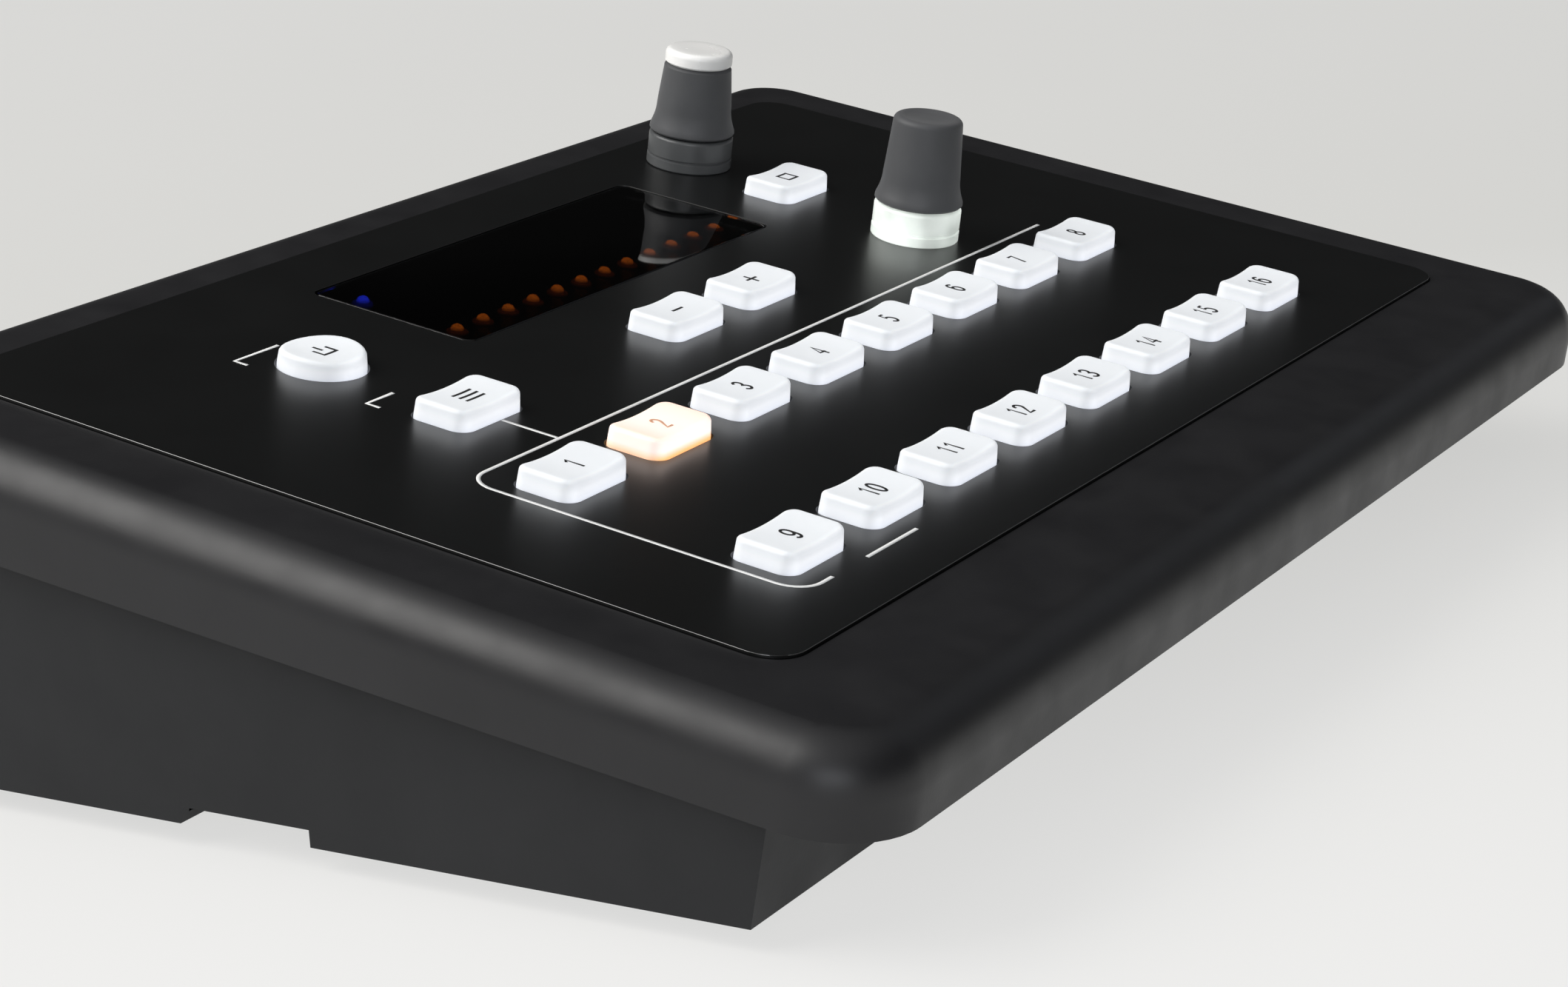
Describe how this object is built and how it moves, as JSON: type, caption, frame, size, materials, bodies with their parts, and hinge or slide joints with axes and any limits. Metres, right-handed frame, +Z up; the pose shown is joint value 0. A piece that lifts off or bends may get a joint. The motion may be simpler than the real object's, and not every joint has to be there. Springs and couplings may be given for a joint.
{
  "type": "personal monitor mixer",
  "caption": "Sloping desktop or stand-mounted personal monitor mixer with rows of lit keys, a meter window, two rotary knobs, and network and headphone sockets at the back.",
  "frame": {"origin": "on the table, under the middle of the box", "axes": "+X to the player's right, +Y away from the player, +Z up from the table"},
  "size_m": [0.234, 0.1554, 0.0694],
  "materials": {
    "plate_paint": "satin black fine powder coat with white printed lines",
    "rim_plastic": "charcoal moulded plastic, fine matte texture",
    "chassis_paint": "dark grey fine powder coat on folded sheet steel",
    "plain_steel": "bright zinc-plated steel",
    "black_steel": "blackened steel",
    "foot_rubber": "black rubber",
    "board_green": "green solder mask on glass-fibre board",
    "socket_black": "black moulded plastic",
    "socket_shell": "tinned steel shell",
    "led_warm": "clear epoxy",
    "lamp_orange": "orange diffused epoxy, dimly lit",
    "window_black": "gloss smoked acrylic",
    "key_white": "translucent white silicone",
    "key_lit": "translucent white silicone lit orange from inside",
    "knob_rubber": "dark grey soft-touch rubber",
    "collar_lit": "clear acrylic light ring, lit white",
    "collar_plain": "clear acrylic light ring, unlit",
    "cap_white": "white moulded plastic",
    "ribbon_grey": "grey ribbon cable"
  },
  "bodies": {
    "case": {"top_plate": "plate_paint", "rim_frame": "rim_plastic", "chassis_tray": "chassis_paint", "rear_panel": "chassis_paint", "stand_bush": "plain_steel", "rubber_feet": "foot_rubber", "case_screws": "black_steel", "rear_panel_screws": "black_steel", "control_board": "board_green", "control_standoffs": "plain_steel", "control_board_screws": "plain_steel", "key_switches": "socket_black", "key_leds": "led_warm", "display_window": "window_black", "meter_module": "socket_black", "meter_leds": "lamp_orange", "level_encoder": "plain_steel", "level_collar": "collar_lit", "master_pot": "plain_steel", "master_collar": "collar_plain", "control_nuts": "plain_steel", "main_board": "board_green", "main_standoffs": "plain_steel", "main_board_screws": "plain_steel", "network_sockets": "socket_shell", "headphone_jack": "socket_black", "mini_jack": "socket_black", "usb_socket": "socket_shell", "dc_inlet": "socket_black", "jack_nut": "plain_steel", "power_module": "socket_black", "link_headers": "socket_black", "ribbon_cable": "ribbon_grey"},
    "level_control": {"level_knob": "knob_rubber", "level_shaft": "plain_steel"},
    "master_control": {"master_knob": "knob_rubber", "master_cap": "cap_white", "master_shaft": "plain_steel"},
    "key_01_body": {"key_01": "key_white"},
    "key_02_body": {"key_02": "key_lit"},
    "key_03_body": {"key_03": "key_white"},
    "key_04_body": {"key_04": "key_white"},
    "key_05_body": {"key_05": "key_white"},
    "key_06_body": {"key_06": "key_white"},
    "key_07_body": {"key_07": "key_white"},
    "key_08_body": {"key_08": "key_white"},
    "key_09_body": {"key_09": "key_white"},
    "key_10_body": {"key_10": "key_white"},
    "key_11_body": {"key_11": "key_white"},
    "key_12_body": {"key_12": "key_white"},
    "key_13_body": {"key_13": "key_white"},
    "key_14_body": {"key_14": "key_white"},
    "key_15_body": {"key_15": "key_white"},
    "key_16_body": {"key_16": "key_white"},
    "recall_key_body": {"recall_key": "key_white"},
    "left_function_key_body": {"left_function_key": "key_white"},
    "right_function_key_body": {"right_function_key": "key_white"},
    "upper_key_body": {"upper_key": "key_white"},
    "round_key_body": {"round_key": "key_white"}
  },
  "joints": [
    {"name": "key_01_press", "type": "slide", "parent": "case", "child": "key_01_body", "axis": [0, 0.1822, -0.9833], "range_m": [0, 0.0012], "stiffness_N_per_m": 600, "springref_m": -0.0008},
    {"name": "key_02_press", "type": "slide", "parent": "case", "child": "key_02_body", "axis": [0, 0.1822, -0.9833], "range_m": [0, 0.0012], "stiffness_N_per_m": 600, "springref_m": -0.0008},
    {"name": "key_03_press", "type": "slide", "parent": "case", "child": "key_03_body", "axis": [0, 0.1822, -0.9833], "range_m": [0, 0.0012], "stiffness_N_per_m": 600, "springref_m": -0.0008},
    {"name": "key_04_press", "type": "slide", "parent": "case", "child": "key_04_body", "axis": [0, 0.1822, -0.9833], "range_m": [0, 0.0012], "stiffness_N_per_m": 600, "springref_m": -0.0008},
    {"name": "key_05_press", "type": "slide", "parent": "case", "child": "key_05_body", "axis": [0, 0.1822, -0.9833], "range_m": [0, 0.0012], "stiffness_N_per_m": 600, "springref_m": -0.0008},
    {"name": "key_06_press", "type": "slide", "parent": "case", "child": "key_06_body", "axis": [0, 0.1822, -0.9833], "range_m": [0, 0.0012], "stiffness_N_per_m": 600, "springref_m": -0.0008},
    {"name": "key_07_press", "type": "slide", "parent": "case", "child": "key_07_body", "axis": [0, 0.1822, -0.9833], "range_m": [0, 0.0012], "stiffness_N_per_m": 600, "springref_m": -0.0008},
    {"name": "key_08_press", "type": "slide", "parent": "case", "child": "key_08_body", "axis": [0, 0.1822, -0.9833], "range_m": [0, 0.0012], "stiffness_N_per_m": 600, "springref_m": -0.0008},
    {"name": "key_09_press", "type": "slide", "parent": "case", "child": "key_09_body", "axis": [0, 0.1822, -0.9833], "range_m": [0, 0.0012], "stiffness_N_per_m": 600, "springref_m": -0.0008},
    {"name": "key_10_press", "type": "slide", "parent": "case", "child": "key_10_body", "axis": [0, 0.1822, -0.9833], "range_m": [0, 0.0012], "stiffness_N_per_m": 600, "springref_m": -0.0008},
    {"name": "key_11_press", "type": "slide", "parent": "case", "child": "key_11_body", "axis": [0, 0.1822, -0.9833], "range_m": [0, 0.0012], "stiffness_N_per_m": 600, "springref_m": -0.0008},
    {"name": "key_12_press", "type": "slide", "parent": "case", "child": "key_12_body", "axis": [0, 0.1822, -0.9833], "range_m": [0, 0.0012], "stiffness_N_per_m": 600, "springref_m": -0.0008},
    {"name": "key_13_press", "type": "slide", "parent": "case", "child": "key_13_body", "axis": [0, 0.1822, -0.9833], "range_m": [0, 0.0012], "stiffness_N_per_m": 600, "springref_m": -0.0008},
    {"name": "key_14_press", "type": "slide", "parent": "case", "child": "key_14_body", "axis": [0, 0.1822, -0.9833], "range_m": [0, 0.0012], "stiffness_N_per_m": 600, "springref_m": -0.0008},
    {"name": "key_15_press", "type": "slide", "parent": "case", "child": "key_15_body", "axis": [0, 0.1822, -0.9833], "range_m": [0, 0.0012], "stiffness_N_per_m": 600, "springref_m": -0.0008},
    {"name": "key_16_press", "type": "slide", "parent": "case", "child": "key_16_body", "axis": [0, 0.1822, -0.9833], "range_m": [0, 0.0012], "stiffness_N_per_m": 600, "springref_m": -0.0008},
    {"name": "recall_key_press", "type": "slide", "parent": "case", "child": "recall_key_body", "axis": [0, 0.1822, -0.9833], "range_m": [0, 0.0012], "stiffness_N_per_m": 600, "springref_m": -0.0008},
    {"name": "left_function_key_press", "type": "slide", "parent": "case", "child": "left_function_key_body", "axis": [0, 0.1822, -0.9833], "range_m": [0, 0.0012], "stiffness_N_per_m": 600, "springref_m": -0.0008},
    {"name": "right_function_key_press", "type": "slide", "parent": "case", "child": "right_function_key_body", "axis": [0, 0.1822, -0.9833], "range_m": [0, 0.0012], "stiffness_N_per_m": 600, "springref_m": -0.0008},
    {"name": "upper_key_press", "type": "slide", "parent": "case", "child": "upper_key_body", "axis": [0, 0.1822, -0.9833], "range_m": [0, 0.0012], "stiffness_N_per_m": 600, "springref_m": -0.0008},
    {"name": "round_key_press", "type": "slide", "parent": "case", "child": "round_key_body", "axis": [0, 0.1822, -0.9833], "range_m": [0, 0.0012], "stiffness_N_per_m": 600, "springref_m": -0.0008},
    {"name": "level_turn", "type": "hinge", "parent": "case", "child": "level_control", "pos_m": [0.0515, 0.00796, 0.04176], "axis": [0, -0.1822, 0.9833], "continuous": true},
    {"name": "master_turn", "type": "hinge", "parent": "case", "child": "master_control", "pos_m": [0.0565, 0.05162, 0.04986], "axis": [0, -0.1822, 0.9833], "range_deg": [-150, 150]}
  ]
}
